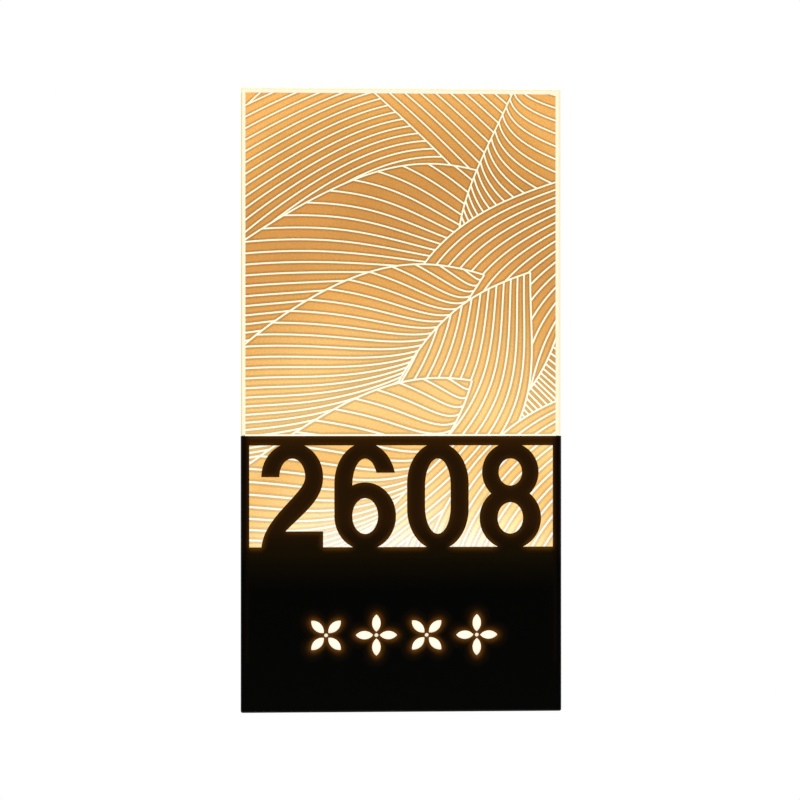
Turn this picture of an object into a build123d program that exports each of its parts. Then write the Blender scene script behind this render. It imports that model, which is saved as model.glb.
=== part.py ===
from build123d import *
import os

# Illuminated door sign for a wall. Millimetres, +Z up, +X to the right, front towards -Y.
# The wall is the plane y = 0 and the origin is midway between the bracket's two wall screws.

# Outside of the sign
sign_width = 150.0
box_height = 129.0
panel_rise = 163.0
sign_depth = 30.0
wall_gap = 4.2
screw_drop = 25.0

# Folded sheet of the box
cover_sheet = 1.5
tray_sheet = 1.2
bend_radius = 1.0
slip_gap = 0.3
cover_setback = 0.6

# Number window and numerals
window_side_border = 4.0
window_top_border = 4.4
window_height = 47.5
digit_overlap = 1.25
digit_width = 28.8
digit_stem = 8.4
digit_bar = 7.4
digit_side_gap = 5.6

# Ornaments and the opal sheet behind them
motif_height = 36.0
motif_pitch = 23.5
petal_length = 8.2
petal_width = 4.0
petal_root = 1.5
eye_radius = 0.9
diffuser_thickness = 2.0
diffuser_margin = 7.0
diffuser_height = 26.0
stud_inset = 4.0
stud_length = 6.5

# Light guide, its backing and the channel they stand in
guide_thickness = 5.0
guide_chamfer = 0.5
guide_corner = 1.0
backing_thickness = 1.0
backing_inset = 2.0
shoulder_gap = 0.4
tongue_gap = 0.5
panel_grip = 8.0
gripper_thickness = 0.4
channel_wall = 1.0
channel_floor = 1.2
channel_gap = 0.3
channel_end_gap = 1.5
channel_hide = 1.2
flange_drop = 12.0
pillar_inset = 17.0
pillar_bore_depth = 8.0
pillar_screw_reach = 6.0
tray_front_gap = 0.4
top_lip = 8.0
seal_inset = 1.0

# Light source under the panel
led_gap = 0.4
led_height = 0.8
led_length = 3.5
led_width = 2.8
led_cup_radius = 1.06
led_cup_depth = 0.24
led_pitch = 7.0
resistor_length = 3.2
resistor_width = 1.6
resistor_height = 0.5
strip_thickness = 1.2
strip_side_gap = 0.4
rest_pad_length = 6.0
rest_pad_gap = 1.0
plug_inset = 15.0
plug_length = 5.0
plug_width = 3.0
plug_drop = 3.0
plug_gap = 0.4
plug_bore = 2.0

# Light source behind the ornaments
motif_board_height = 14.0
motif_board_margin = 14.0
motif_spacer_height = 4.6
motif_led_offset = 4.0
spacer_floor = 1.0
spacer_tip = 0.6
board_thickness = 1.6

# Driver
driver_length = 46.0
driver_height = 21.0
driver_side_gap = 13.0
driver_rise = 17.2
driver_spacer_height = 4.0
hole_inset = 2.8
capacitor_radius = 4.0
capacitor_height = 10.0
capacitor_rim = 0.6
inductor_size = 8.0
inductor_height = 5.0
inductor_corner = 1.2
component_step = 6.0
chip_step = 13.5
chip_length = 4.0
chip_width = 5.0
chip_height = 1.6
socket_length = 5.0
socket_inset = 0.5
socket_height = 3.2
socket_wall = 1.4
socket_pair_gap = 0.4
socket_bore = 3.0

# Supply terminal and cable entry
grommet_side_gap = 9.0
grommet_rise = 13.0
grommet_hole_radius = 5.0
cable_radius = 3.0
grommet_flange = 2.0
grommet_lip = 1.5
terminal_length = 18.0
terminal_pole = 6.2
terminal_depth = 9.0
terminal_spacing = 18.0
terminal_cheek = 0.8
terminal_pad_thickness = 1.0
trough_depth = 4.3
lever_hub_radius = 1.9
lever_pin_radius = 1.0
lever_thickness = 2.0
lever_reach = 12.6
lever_side_gap = 0.2
pin_gap = 0.05
pin_wall = 0.2
hub_inset = 2.6
hub_gap = 0.2
trough_end = 1.0
port_radius = 1.7
contact_wall = 0.5
contact_length = 8.0

# Screws, studs and wires
m3_radius = 1.5
m3_head_radius = 2.8
m3_head_height = 1.8
m3_across_flats = 5.5
m3_nut_height = 2.4
m25_radius = 1.25
m25_head_radius = 2.4
m25_head_height = 1.2
m25_across_flats = 5.0
m25_nut_height = 2.0
thread_gap = 0.06
hole_gap = 0.2
spigot_radius = 2.0
cover_screw_inset = 20.0
screw_tip = 0.8
drive_slot_length = 2.9
drive_slot_width = 0.6
drive_slot_depth = 0.4
screw_slot_gap = 0.35
press_gap = 0.05
wire_radius = 0.65
wire_gap = 0.12
wire_pitch = 2.0
wire_bend = 2.6
supply_bend = 6.0
terminal_insert = 3.0
strip_lane = 8.0
motif_lane = 5.2
plug_run = 8.0
flange_clear = 12.0
clip_height = 6.0
clip_depth = 3.2
clip_rise = 5.0

# Wall bracket and feet
bracket_sheet = 1.5
bracket_width = 124.0
bracket_height = 30.0
wall_screw_spacing = 100.0
wall_screw_radius = 2.25
hook_spacing = 60.0
hook_width = 14.0
hook_rise = 8.0
hook_drop = 9.0
hook_side_gap = 0.5
hook_play = 0.4
hook_reach = 3.0
hook_slot_play = 1.0
bracket_corner = 3.0
bumper_radius = 5.0
bumper_inset = 13.0
bumper_rise = 30.0

# Planes from the wall forwards
y_tray_back = -wall_gap
y_tray_floor = y_tray_back - tray_sheet
y_cover_front = -sign_depth
y_cover_inside = y_cover_front + cover_sheet
y_channel_front = y_cover_inside + channel_gap
y_gripper_front = y_channel_front + channel_wall
y_guide_front = y_gripper_front + gripper_thickness
y_guide_back = y_guide_front + guide_thickness
y_backing_back = y_guide_back + backing_thickness
y_channel_back = y_backing_back + channel_wall
y_tray_front = y_channel_back + tray_front_gap
y_diffuser_back = y_cover_inside + diffuser_thickness

# Heights, from the wall screws
z_top = screw_drop
z_bottom = z_top - box_height
z_panel_top = z_top + panel_rise
z_window_top = z_top - window_top_border
z_window_bottom = z_window_top - window_height
z_channel_top = z_window_bottom - channel_hide
z_panel_bottom = z_channel_top - panel_grip
z_led_top = z_panel_bottom - led_gap
z_strip_top = z_led_top - led_height
z_channel_floor = z_strip_top - strip_thickness
z_channel_bottom = z_channel_floor - channel_floor
z_flange_bottom = z_channel_bottom - flange_drop
z_tray_bottom = z_bottom + cover_sheet + slip_gap
z_tray_inside = z_tray_bottom + tray_sheet
z_motif = z_bottom + motif_height
z_driver = z_bottom + driver_rise
z_grommet = z_bottom + grommet_rise

# Half widths
x_cover = sign_width / 2
x_cover_inside = x_cover - cover_sheet
x_tray = x_cover_inside - slip_gap
x_tray_inside = x_tray - tray_sheet
x_window = x_cover - window_side_border
x_tongue = x_cover_inside - tongue_gap
x_channel = x_cover_inside - channel_end_gap
x_pillar = x_channel - pillar_inset
x_cover_screw = x_cover - cover_screw_inset
x_grommet = x_tray_inside - grommet_side_gap

nodes = {}


def slab(x_span, y_span, z_span):
    """A block between two limits along each axis."""
    size = [abs(span[1] - span[0]) for span in (x_span, y_span, z_span)]
    middle = [(span[1] + span[0]) / 2 for span in (x_span, y_span, z_span)]
    return Pos(*middle) * Box(*size)


def front_plate(sketch, y_back, y_front):
    """A sketch drawn as seen from the front, made solid between two depths."""
    return extrude(Plane.XZ.offset(-y_back) * sketch, amount=y_back - y_front)


def rod(x, z, radius, y_back, y_front):
    """A round bar that points forwards."""
    return front_plate(Pos(x, z) * Circle(radius), y_back, y_front)


def hexagon(across_flats):
    return RegularPolygon(across_flats / 2, 6, major_radius=False)


def mirror_pair(shape):
    """The same piece at both sides of the sign."""
    return [shape, mirror(shape, about=Plane.YZ)]


def pan_screw(x, z, y_seat, length, radius, head_radius, head_height):
    """A cross-recessed pan-head screw with its head in front of the seat."""
    head = rod(x, z, head_radius, y_seat, y_seat - head_height)
    shank = rod(x, z, radius, y_seat + length, y_seat)
    y_recess = (y_seat - head_height * 0.4, y_seat - head_height)
    reach = head_radius * 0.55
    arm = radius * 0.25
    cross = slab((x - reach, x + reach), y_recess, (z - arm, z + arm))
    cross += slab((x - arm, x + arm), y_recess, (z - reach, z + reach))
    return head + shank - cross


def spacer(x, z, y_front, outline, bore_radius, bore_depth):
    """A threaded spacer pressed into the tray's rear wall by its spigot."""
    body = front_plate(Pos(x, z) * outline, y_tray_floor, y_front)
    body += rod(x, z, spigot_radius, y_tray_back, y_tray_floor)
    return body - rod(x, z, bore_radius, y_front + bore_depth, y_front)


def wire(points, bend):
    """An insulated wire along straight runs joined by round bends."""
    path = FilletPolyline(*points, radius=bend)
    start = Plane(origin=path @ 0, z_dir=path % 0)
    return sweep(start * Circle(wire_radius), path=path)


def keep(name, *solids):
    """Files one component under its name."""
    flat = []
    for item in solids:
        flat.extend(item if isinstance(item, list) else [item])
    nodes[name] = flat[0] if len(flat) == 1 else Compound(children=flat)


# Numerals: plain sans figures that run into the window's frame at top and bottom
digit_height = window_height + 2 * digit_overlap
half_height = digit_height / 2
half_width = digit_width / 2
counter_width = digit_width - 2 * digit_stem


def long_oval(width, height, cap):
    """An upright oval with straight sides and elliptical caps."""
    straight = height - 2 * cap
    shape = Rectangle(width, straight)
    for side in (-1, 1):
        shape += Pos(0, side * straight / 2) * Ellipse(width / 2, cap)
    return shape


def oval_ring():
    outer = long_oval(digit_width, digit_height, digit_height * 0.38)
    inner_height = digit_height - 2 * digit_bar
    return outer - long_oval(counter_width, inner_height, inner_height * 0.36)


def figure_zero():
    return oval_ring()


def figure_two():
    """A half ring on top, a curved diagonal and a flat foot."""
    z_bowl = 0.36 * half_height
    bowl_rise = half_height - z_bowl
    ring = Ellipse(half_width, bowl_rise) - Ellipse(half_width - digit_stem, bowl_rise - digit_bar)
    ring = Pos(0, z_bowl) * (ring & Pos(0, bowl_rise / 2) * Rectangle(digit_width, bowl_rise))
    foot = -half_height + digit_bar + digit_overlap
    inner = half_width - digit_stem
    heel = -0.22 * half_width
    right = Bezier(
        (half_width, z_bowl),
        (half_width, -0.08 * half_height),
        (0.31 * half_width, -0.33 * half_height),
        (heel, foot),
    )
    left = Bezier(
        (-half_width, -half_height),
        (-half_width, -0.4 * half_height),
        (inner, 0.04 * half_height),
        (inner, z_bowl),
    )
    foot_line = Polyline(
        (heel, foot), (half_width, foot), (half_width, -half_height), (-half_width, -half_height)
    )
    shoulder = Line((inner, z_bowl), (half_width, z_bowl))
    return ring + make_face(right + foot_line + left + shoulder)


def figure_six():
    """The left and top of an oval ring closed by a round bowl below."""
    bowl_rise = digit_height * 0.315
    open_side = Rectangle(half_width + 1, 1.44 * half_height, align=(Align.MIN, Align.MIN))
    hook = oval_ring() - Pos(0, -half_height) * open_side
    bowl = Pos(0, bowl_rise - half_height) * Ellipse(half_width, bowl_rise)
    counter = Pos(0, bowl_rise - half_height) * Ellipse(counter_width / 2, bowl_rise - digit_bar)
    return hook + bowl - counter


def figure_eight():
    """Two round bowls, the lower one a little larger."""
    lower = digit_height * 0.295
    upper = digit_height * 0.275
    z_lower = lower - half_height
    z_upper = half_height - upper
    shape = Pos(0, z_lower) * Ellipse(half_width, lower)
    shape += Pos(0, z_upper) * Ellipse(half_width * 0.92, upper)
    shape -= Pos(0, z_lower) * Ellipse(counter_width / 2, lower - digit_bar)
    shape -= Pos(0, z_upper) * Ellipse(counter_width * 0.46, upper - digit_bar)
    return shape


digit_step = (2 * x_window - 2 * digit_side_gap - digit_width) / 3
z_digits = (z_window_top + z_window_bottom) / 2
number_cut = Pos(0, z_digits) * Rectangle(2 * x_window, window_height)
for index, figure in enumerate((figure_two, figure_six, figure_zero, figure_eight)):
    number_cut -= Pos((index - 1.5) * digit_step, z_digits) * figure()


# Ornaments: four-petal blossoms, every second one turned by an eighth
def petal():
    """A pointed oval made of two arcs, from near the blossom's middle outwards."""
    tip = petal_root + petal_length
    side = petal_width / 2
    centre = petal_root + petal_length / 2
    lower = ThreePointArc((petal_root, 0), (centre, -side), (tip, 0))
    upper = ThreePointArc((tip, 0), (centre, side), (petal_root, 0))
    return make_face(lower + upper)


motif_places = [(index - 1.5) * motif_pitch for index in range(4)]
motif_cut = []
for index, x_motif in enumerate(motif_places):
    turn = 45 if index % 2 == 0 else 0
    motif_cut.append(Pos(x_motif, z_motif) * Circle(eye_radius))
    for quarter in range(4):
        motif_cut.append(Pos(x_motif, z_motif) * Rot(0, 0, turn + 90 * quarter) * petal())

# Front cover: face and three flanges folded from one sheet, open at the top and the back
y_cover_back = y_tray_back - cover_setback
cover = slab((-x_cover, x_cover), (y_cover_front, y_cover_back), (z_bottom, z_top))
rounded = cover.edges().group_by(Axis.Y)[0]
rounded = rounded.sort_by(Axis.Z)[:-1]
rounded += cover.edges().filter_by(Axis.Y).sort_by(Axis.Z)[:2]
cover = fillet(rounded, bend_radius)
cover -= slab(
    (-x_cover_inside, x_cover_inside),
    (y_cover_inside, y_cover_back + 1),
    (z_bottom + cover_sheet, z_top + 1),
)
cover -= front_plate(number_cut, y_cover_inside + 0.5, y_cover_front - 0.5)
for cut in motif_cut:
    cover -= front_plate(cut, y_cover_inside + 0.5, y_cover_front - 0.5)

# Countersunk holes in the bottom flange
y_cover_screw = (y_tray_back + y_tray_front) / 2
sink_height = m25_head_radius - m25_radius
z_sink = z_bottom + sink_height / 2
for x in (-x_cover_screw, x_cover_screw):
    sink_radius = m25_head_radius + hole_gap
    cover -= Pos(x, y_cover_screw, z_sink) * Cone(sink_radius, m25_radius + hole_gap, sink_height)
    cover -= Pos(x, y_cover_screw, z_bottom) * Cylinder(m25_radius + hole_gap, 4 * cover_sheet)
keep("front_cover", cover)

# Cover screws from below, with their nuts inside the tray
z_nut = z_tray_inside
z_nut_top = z_nut + m25_nut_height
z_screw_tip = z_nut_top + screw_tip
screws = []
nuts = []
for x in (-x_cover_screw, x_cover_screw):
    head = Pos(x, y_cover_screw, z_sink) * Cone(m25_head_radius, m25_radius, sink_height)
    shank_height = z_screw_tip - z_sink
    shank = Pos(x, y_cover_screw, z_sink + shank_height / 2) * Cylinder(m25_radius, shank_height)
    slot_size = (drive_slot_length, drive_slot_width, 2 * drive_slot_depth)
    slot = Pos(x, y_cover_screw, z_bottom) * (Box(*slot_size) + Rot(0, 0, 90) * Box(*slot_size))
    screws.append(head + shank - slot)
    nut = extrude(hexagon(m25_across_flats) - Circle(m25_radius + thread_gap), m25_nut_height)
    nuts.append(Pos(x, y_cover_screw, z_nut) * nut)
keep("cover_screws", screws)
keep("cover_nuts", nuts)

# Opal sheet behind the ornaments, on four weld studs
x_diffuser = 1.5 * motif_pitch + petal_root + petal_length + diffuser_margin
z_diffuser = (z_motif - diffuser_height / 2, z_motif + diffuser_height / 2)
diffuser = slab((-x_diffuser, x_diffuser), (y_cover_inside, y_diffuser_back), z_diffuser)
studs = []
stud_nuts = []
for x in (-x_diffuser + stud_inset, x_diffuser - stud_inset):
    for z in (z_diffuser[0] + stud_inset, z_diffuser[1] - stud_inset):
        diffuser -= rod(x, z, m3_radius + hole_gap, y_diffuser_back + 1, y_cover_inside - 1)
        studs.append(rod(x, z, m3_radius, y_cover_inside + stud_length, y_cover_inside))
        nut_outline = Pos(x, z) * (hexagon(m3_across_flats) - Circle(m3_radius + thread_gap))
        stud_nuts.append(front_plate(nut_outline, y_diffuser_back + m3_nut_height, y_diffuser_back))
keep("motif_diffuser", diffuser)
keep("diffuser_studs", studs)
keep("diffuser_nuts", stud_nuts)

# Light guide: full-width sheet above the box with a narrower tongue inside it
z_shoulder = z_top + shoulder_gap
guide = slab((-x_cover, x_cover), (y_guide_front, y_guide_back), (z_shoulder, z_panel_top))
guide = fillet(guide.edges().filter_by(Axis.Y).sort_by(Axis.Z)[2:], guide_corner)
polished = guide.edges().group_by(Axis.Y)[0]
guide = chamfer(polished.sort_by(Axis.Z)[1:], guide_chamfer)
z_tongue = (z_panel_bottom, z_shoulder + 1)
guide += slab((-x_tongue, x_tongue), (y_guide_front, y_guide_back), z_tongue)
keep("light_guide_panel", guide)

# Backing sheet on the guide's rear face
x_backing = min(x_cover - backing_inset, x_tongue)
z_backing = (z_panel_bottom, z_panel_top - backing_inset)
backing = slab((-x_backing, x_backing), (y_guide_back, y_backing_back), z_backing)
keep("backing_panel", backing)

# U-channel that holds the panel's lower edge, with a fixing flange hanging from its back
span = (-x_channel, x_channel)
channel = slab(span, (y_channel_front, y_channel_back), (z_channel_bottom, z_channel_top))
channel -= slab(
    (-x_channel - 1, x_channel + 1),
    (y_gripper_front, y_backing_back),
    (z_channel_floor, z_channel_top + 1),
)
channel += slab(span, (y_backing_back, y_channel_back), (z_flange_bottom, z_channel_bottom))
z_pillar = z_flange_bottom + flange_drop / 2
pillar_places = (-x_pillar, 0, x_pillar)
for x in pillar_places:
    channel -= rod(x, z_pillar, m3_radius + hole_gap, y_channel_back + 1, y_backing_back - 1)

# Socket through the channel's floor for the strip's connector
x_strip_plug = -x_channel + plug_inset
y_strip = (y_gripper_front + strip_side_gap, y_backing_back - strip_side_gap)
y_strip_middle = (y_strip[0] + y_strip[1]) / 2
channel -= slab(
    (x_strip_plug - plug_length / 2 - plug_gap, x_strip_plug + plug_length / 2 + plug_gap),
    (y_strip_middle - plug_width / 2 - plug_gap, y_strip_middle + plug_width / 2 + plug_gap),
    (z_channel_bottom - 1, z_channel_floor + 0.5),
)
keep("led_channel", channel)

pillars = []
channel_screws = []
for x in pillar_places:
    pillar_bore = m3_radius + thread_gap
    pillars.append(
        spacer(x, z_pillar, y_channel_back, hexagon(m3_across_flats), pillar_bore, pillar_bore_depth)
    )
    reach = channel_wall + pillar_screw_reach
    channel_screws.append(
        pan_screw(x, z_pillar, y_backing_back, reach, m3_radius, m3_head_radius, m3_head_height)
    )
keep("channel_pillars", pillars)
keep("channel_screws", channel_screws)

# Light strip on the channel's floor
x_strip = x_channel - rest_pad_length - rest_pad_gap
strip = slab((-x_strip, x_strip), y_strip, (z_channel_floor, z_strip_top))
keep("led_strip_board", strip)

y_led = y_strip_middle
led_count = int((2 * x_strip - led_length) / led_pitch) + 1
strip_leds = []
strip_resistors = []
for index in range(led_count):
    x = (index - (led_count - 1) / 2) * led_pitch
    led = slab(
        (x - led_length / 2, x + led_length / 2),
        (y_led - led_width / 2, y_led + led_width / 2),
        (z_strip_top, z_led_top),
    )
    led -= Pos(x, y_led, z_led_top) * Cylinder(led_cup_radius, 2 * led_cup_depth)
    strip_leds.append(led)
    if index % 3 == 1:
        x_resistor = x + led_pitch / 2
        strip_resistors.append(
            slab(
                (x_resistor - resistor_width / 2, x_resistor + resistor_width / 2),
                (y_led - resistor_length / 2, y_led + resistor_length / 2),
                (z_strip_top, z_strip_top + resistor_height),
            )
        )
keep("strip_leds", strip_leds)
keep("strip_resistors", strip_resistors)

# Plug under the strip, in the channel's socket
z_plug = (z_channel_bottom - plug_drop, z_channel_floor)
plug = slab(
    (x_strip_plug - plug_length / 2, x_strip_plug + plug_length / 2),
    (y_strip_middle - plug_width / 2, y_strip_middle + plug_width / 2),
    z_plug,
)
plug_wires = [x_strip_plug - wire_pitch / 2, x_strip_plug + wire_pitch / 2]
for x in plug_wires:
    plug -= Pos(x, y_strip_middle, z_plug[0]) * Cylinder(wire_radius + wire_gap, 2 * plug_bore)
keep("strip_connector", plug)

# Silicone pieces: pads the panel stands on, strip it is gripped by, seal behind its foot
pad = slab(
    (x_channel - rest_pad_length, x_channel),
    (y_gripper_front, y_backing_back),
    (z_channel_floor, z_panel_bottom),
)
keep("panel_rest_pads", mirror_pair(pad))
gripper = slab(span, (y_gripper_front, y_guide_front), (z_panel_bottom, z_channel_top))
keep("panel_gripper", gripper)

# Rear tray: rear wall with four flanges, the top one turned down into a lip
y_lip_front = y_tray_front + tray_front_gap
tray = slab((-x_tray, x_tray), (y_tray_front, y_tray_back), (z_tray_bottom, z_top))
tray = fillet(tray.edges().group_by(Axis.Y)[-1], bend_radius)
tray -= slab(
    (-x_tray_inside, x_tray_inside),
    (y_tray_front - 1, y_tray_floor),
    (z_tray_inside, z_top - tray_sheet),
)
tray -= slab((-x_tray - 1, x_tray + 1), (y_tray_front - 1, y_lip_front), (z_top - top_lip, z_top + 1))
tray += slab(
    (-x_tray_inside, x_tray_inside),
    (y_lip_front, y_lip_front + tray_sheet),
    (z_top - top_lip, z_top - tray_sheet),
)
seal = slab(
    (-x_tray_inside, x_tray_inside),
    (y_backing_back, y_lip_front),
    (z_top - top_lip + seal_inset, z_top - tray_sheet),
)
keep("top_seal", seal)

# Hanging slots, whose upper edges rest on the bracket's hooks
z_hook = -hook_drop
z_slot_top = z_hook + bracket_sheet
z_slot_bottom = z_slot_top - hook_rise - hook_slot_play
x_hooks = (-hook_spacing / 2, hook_spacing / 2)
slot_half = hook_width / 2 + hook_side_gap
for x in x_hooks:
    tray -= slab(
        (x - slot_half, x + slot_half),
        (y_tray_floor - 1, y_tray_back + 1),
        (z_slot_bottom, z_slot_top),
    )

# Slots in the tray's bottom for the cover screws, open to the front
for x in (-x_cover_screw, x_cover_screw):
    slot_side = m25_radius + screw_slot_gap
    tray -= slab(
        (x - slot_side, x + slot_side),
        (y_tray_front - 1, y_cover_screw + slot_side),
        (z_tray_bottom - 1, z_tray_inside + 1),
    )

# Light behind the ornaments
x_motif_board = 1.5 * motif_pitch + motif_board_margin
y_motif_seat = y_tray_floor - motif_spacer_height
y_motif_board = y_motif_seat - board_thickness
half_board = motif_board_height / 2
motif_board = slab(
    (-x_motif_board, x_motif_board),
    (y_motif_board, y_motif_seat),
    (z_motif - half_board, z_motif + half_board),
)
x_motif_screw = motif_pitch
motif_spacers = []
motif_screws = []
for x in (-x_motif_screw, x_motif_screw):
    motif_board -= rod(x, z_motif, m25_radius + hole_gap, y_motif_seat + 1, y_motif_board - 1)
    bore = m25_radius + thread_gap
    depth = motif_spacer_height - spacer_floor
    motif_spacers.append(spacer(x, z_motif, y_motif_seat, Circle(m25_head_radius), bore, depth))
    reach = board_thickness + depth - spacer_tip
    motif_screws.append(
        pan_screw(x, z_motif, y_motif_board, reach, m25_radius, m25_head_radius, m25_head_height)
    )
motif_leds = []
for x in motif_places:
    for side in (-1, 1):
        x_led = x + side * motif_led_offset
        led = slab(
            (x_led - led_width / 2, x_led + led_width / 2),
            (y_motif_board - led_height, y_motif_board),
            (z_motif - led_length / 2, z_motif + led_length / 2),
        )
        y_window = y_motif_board - led_height
        led -= rod(x_led, z_motif, led_cup_radius, y_window + led_cup_depth, y_window - 1)
        motif_leds.append(led)
keep("motif_led_board", motif_board)
keep("motif_leds", motif_leds)
keep("motif_spacers", motif_spacers)
keep("motif_screws", motif_screws)


def wire_socket(x_span, y_span, z_span, ports, face, depth):
    """A connector block with one round port for each wire."""
    block = slab(x_span, y_span, z_span)
    for y_port, z_port in ports:
        block -= Pos(face, y_port, z_port) * Rot(0, 90, 0) * Cylinder(wire_radius + wire_gap, 2 * depth)
    return block


# Connector at the left end of the ornament board
x_motif_plug = (-x_motif_board + socket_inset, -x_motif_board + socket_inset + socket_length)
y_motif_wires = y_motif_board - socket_height / 2
motif_ports = [(y_motif_wires, z_motif - wire_pitch / 2), (y_motif_wires, z_motif + wire_pitch / 2)]
z_motif_plug = (motif_ports[0][1] - socket_wall, motif_ports[1][1] + socket_wall)
motif_plug = wire_socket(
    x_motif_plug,
    (y_motif_board - socket_height, y_motif_board),
    z_motif_plug,
    motif_ports,
    x_motif_plug[0],
    socket_bore,
)
keep("motif_connector", motif_plug)

# Driver board on four spacers at the bottom left
x_driver = (-x_tray_inside + driver_side_gap, -x_tray_inside + driver_side_gap + driver_length)
x_driver_middle = (x_driver[0] + x_driver[1]) / 2
y_driver_seat = y_tray_floor - driver_spacer_height
y_driver = y_driver_seat - board_thickness
driver_half = driver_height / 2
driver = slab(x_driver, (y_driver, y_driver_seat), (z_driver - driver_half, z_driver + driver_half))
driver_spacers = []
driver_screws = []
for x in (x_driver[0] + hole_inset, x_driver[1] - hole_inset):
    for z in (z_driver - driver_half + hole_inset, z_driver + driver_half - hole_inset):
        driver -= rod(x, z, m25_radius + hole_gap, y_driver_seat + 1, y_driver - 1)
        bore = m25_radius + thread_gap
        depth = driver_spacer_height - spacer_floor
        driver_spacers.append(spacer(x, z, y_driver_seat, Circle(m25_head_radius), bore, depth))
        reach = board_thickness + depth - spacer_tip
        driver_screws.append(
            pan_screw(x, z, y_driver, reach, m25_radius, m25_head_radius, m25_head_height)
        )
keep("driver_board", driver)
keep("driver_spacers", driver_spacers)
keep("driver_screws", driver_screws)

# Components on the driver
x_capacitor = x_driver_middle + component_step
capacitor = rod(x_capacitor, z_driver, capacitor_radius, y_driver, y_driver - capacitor_height)
rim = capacitor.edges().group_by(Axis.Y)[0]
capacitor = fillet(rim, capacitor_rim)
keep("driver_capacitor", capacitor)
x_inductor = x_driver_middle - component_step
half_inductor = inductor_size / 2
inductor = slab(
    (x_inductor - half_inductor, x_inductor + half_inductor),
    (y_driver - inductor_height, y_driver),
    (z_driver - half_inductor, z_driver + half_inductor),
)
inductor = fillet(inductor.edges().filter_by(Axis.Y), inductor_corner)
keep("driver_inductor", inductor)


def chip(x, z, length, width, height):
    """A surface-mounted component on the driver board."""
    return slab(
        (x - length / 2, x + length / 2), (y_driver - height, y_driver), (z - width / 2, z + width / 2)
    )


z_row = driver_half - hole_inset
chips = [
    chip(x_driver_middle - chip_step, z_driver, chip_length, chip_width, chip_height),
    chip(x_driver_middle + chip_step, z_driver, chip_length, chip_width / 2, chip_height),
    chip(x_driver_middle, z_driver + z_row, resistor_length, resistor_width, resistor_height),
    chip(x_driver_middle, z_driver - z_row, resistor_length, resistor_width, resistor_height),
]
keep("driver_chips", chips)

# Driver connectors: supply at the right end, two outputs at the left end
y_driver_wires = y_driver - socket_height / 2
y_socket = (y_driver - socket_height, y_driver)
supply_ports = [(y_driver_wires, z_driver - wire_pitch), (y_driver_wires, z_driver + wire_pitch)]
x_supply = (x_driver[1] - socket_inset - socket_length, x_driver[1] - socket_inset)
z_supply = (supply_ports[0][1] - socket_wall, supply_ports[1][1] + socket_wall)
sockets = [wire_socket(x_supply, y_socket, z_supply, supply_ports, x_supply[1], socket_bore)]
x_output = (x_driver[0] + socket_inset, x_driver[0] + socket_inset + socket_length)
output_ports = []
for side in (-1, 1):
    z_pair = z_driver + side * (wire_pitch / 2 + socket_wall + socket_pair_gap / 2)
    ports = [(y_driver_wires, z_pair - wire_pitch / 2), (y_driver_wires, z_pair + wire_pitch / 2)]
    z_socket = (ports[0][1] - socket_wall, ports[1][1] + socket_wall)
    sockets.append(wire_socket(x_output, y_socket, z_socket, ports, x_output[0], socket_bore))
    output_ports.append(ports)
keep("driver_connectors", sockets)

# Supply terminal: two poles one above the other, wires in from the right, levers on the front
x_middle = x_grommet - terminal_spacing
x_terminal = (x_middle - terminal_length / 2, x_middle + terminal_length / 2)
y_terminal_back = y_tray_floor - terminal_pad_thickness
y_terminal_front = y_terminal_back - terminal_depth
z_poles = (z_grommet - terminal_pole / 2, z_grommet + terminal_pole / 2)
z_terminal = (z_poles[0] - terminal_pole / 2, z_poles[1] + terminal_pole / 2)
terminal = slab(x_terminal, (y_terminal_front, y_terminal_back), z_terminal)
trough_half = terminal_pole / 2 - terminal_cheek
y_trough = y_terminal_front + trough_depth
x_hub = x_terminal[0] + hub_inset
y_hub = y_trough - lever_hub_radius - hub_gap
y_port = (y_trough + y_terminal_back) / 2
for z in z_poles:
    terminal -= slab(
        (x_terminal[0] - 1, x_terminal[1] - trough_end),
        (y_terminal_front - 1, y_trough),
        (z - trough_half, z + trough_half),
    )
    terminal -= Pos(x_hub, y_hub, z) * Cylinder(lever_pin_radius + pin_gap, terminal_pole - 2 * pin_wall)
    terminal -= Pos(x_middle, y_port, z) * Rot(0, 90, 0) * Cylinder(port_radius, terminal_length + 2)
keep("terminal_block", terminal)
keep("terminal_pad", slab(x_terminal, (y_terminal_back, y_tray_floor), z_terminal))

contacts = []
for z in z_poles:
    sleeve = Circle(port_radius - thread_gap) - Circle(port_radius - contact_wall)
    sleeve = extrude(Plane.YZ * sleeve, contact_length / 2, both=True)
    contacts.append(Pos(x_middle, y_port, z) * sleeve)
keep("terminal_contacts", contacts)

lever_half = trough_half - lever_side_gap
pin_half = terminal_pole / 2 - pin_wall - pin_gap
for name, z in zip(("terminal_lever_return", "terminal_lever_live"), z_poles):
    lever = Pos(x_hub, y_hub, z) * Cylinder(lever_hub_radius, 2 * lever_half)
    y_arm = (y_hub - lever_hub_radius, y_hub - lever_hub_radius + lever_thickness)
    lever += slab((x_hub, x_hub + lever_reach), y_arm, (z - lever_half, z + lever_half))
    lever += Pos(x_hub, y_hub, z) * Cylinder(lever_pin_radius, 2 * pin_half)
    keep(name, lever)

# Cable grommet in the rear wall
collar = grommet_hole_radius + grommet_flange
grommet_back = y_tray_back + grommet_lip
grommet_front = y_tray_floor - grommet_lip
grommet = rod(x_grommet, z_grommet, collar, grommet_back, y_tray_back)
grommet += rod(x_grommet, z_grommet, grommet_hole_radius - press_gap, y_tray_back, y_tray_floor)
grommet += rod(x_grommet, z_grommet, collar, y_tray_floor, grommet_front)
grommet -= rod(x_grommet, z_grommet, cable_radius, grommet_back + 1, grommet_front - 1)
keep("cable_grommet", grommet)
tray -= rod(x_grommet, z_grommet, grommet_hole_radius, y_tray_back + 1, y_tray_floor - 1)

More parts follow.
